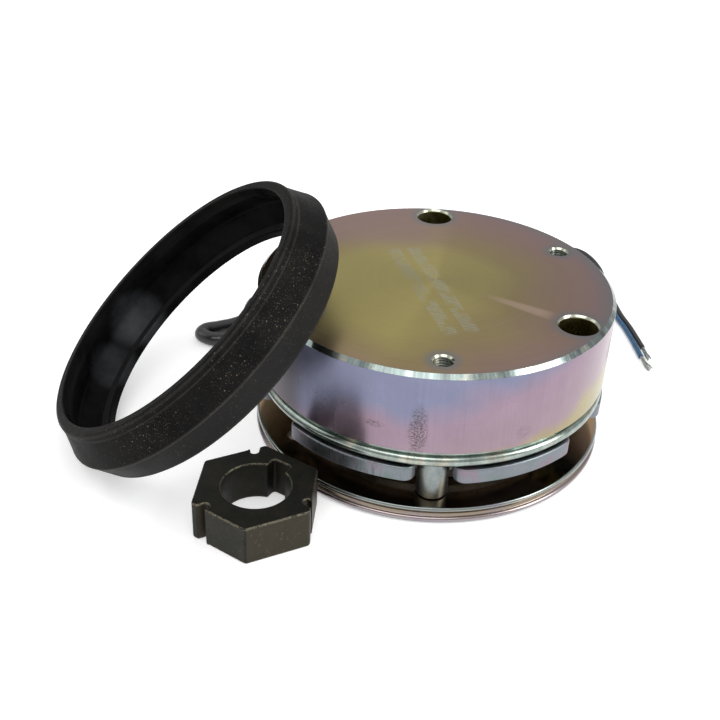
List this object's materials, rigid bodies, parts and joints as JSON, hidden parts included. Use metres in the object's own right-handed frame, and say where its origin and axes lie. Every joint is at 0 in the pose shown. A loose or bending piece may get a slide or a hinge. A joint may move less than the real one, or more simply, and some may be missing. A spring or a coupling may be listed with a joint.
{
  "type": "spring-applied electromagnetic brake",
  "caption": "Round spring-applied electromagnetic brake module with closed magnet housing, armature, friction disc, flange plate, loose hexagon hub, rubber cover ring and twisted leads.",
  "frame": {"origin": "centre of the magnet housing's closed back face", "axes": "+Z along the brake's axis, out of the back face; +X and +Y across it, with a small assembly screw hole at -Y"},
  "size_m": [0.1908, 0.1918, 0.0758],
  "materials": {
    "yellow_zinc": "turned steel with iridescent yellow zinc plating",
    "armature_steel": "plated steel, satin",
    "flange_steel": "polished plated steel",
    "sleeve_steel": "turned plated steel",
    "screw_steel": "black oxide",
    "hub_steel": "dark phosphated steel",
    "spring_steel": "drawn wire",
    "friction_lining": "pressed friction material",
    "carrier_aluminium": "satin",
    "copper_winding": "enamelled copper wire",
    "bobbin_plastic": "moulded",
    "potting_resin": "cast resin",
    "rubber": "moulded black rubber, dusty",
    "black_insulation": "extruded",
    "blue_insulation": "extruded",
    "tinned_copper": "tinned strands"
  },
  "bodies": {
    "brake": {"magnet_housing": "yellow_zinc", "coil_bobbin": "bobbin_plastic", "coil_winding": "copper_winding", "potting_ring": "potting_resin", "spring_1": "spring_steel", "spring_2": "spring_steel", "spring_3": "spring_steel", "spring_4": "spring_steel", "spring_5": "spring_steel", "spring_6": "spring_steel", "flange_plate": "flange_steel", "spacer_sleeve_1": "sleeve_steel", "spacer_sleeve_2": "sleeve_steel", "spacer_sleeve_3": "sleeve_steel", "assembly_screw_1": "screw_steel", "assembly_screw_2": "screw_steel", "assembly_screw_3": "screw_steel", "lead_grommet": "rubber", "lead_pair": "black_insulation", "lead_black_end": "black_insulation", "lead_blue_end": "blue_insulation", "conductor_black": "tinned_copper", "conductor_blue": "tinned_copper"},
    "armature": {"armature_plate": "armature_steel"},
    "rotor": {"rotor_carrier": "carrier_aluminium", "friction_lining_upper": "friction_lining", "friction_lining_lower": "friction_lining"},
    "loose_hub": {"hub": "hub_steel"},
    "loose_ring": {"cover_ring": "rubber"}
  },
  "joints": [
    {"name": "armature_slide", "type": "slide", "parent": "brake", "child": "armature", "axis": [0, 0, 1], "range_m": [0, 0.0003], "stiffness_N_per_m": 2000, "springref_m": -0.003, "deforming": ["spring_1", "spring_2", "spring_3", "spring_4", "spring_5", "spring_6"]},
    {"name": "rotor_spin", "type": "hinge", "parent": "brake", "child": "rotor", "pos_m": [0, 0, -0.0387], "axis": [0, 0, 1], "continuous": true},
    {"name": "hub_lift", "type": "slide", "parent": "brake", "child": "loose_hub", "axis": [0, 0, 1], "range_m": [0, 0.01]},
    {"name": "ring_lift", "type": "slide", "parent": "brake", "child": "loose_ring", "axis": [0, 0, 1], "range_m": [0, 0.06]}
  ]
}
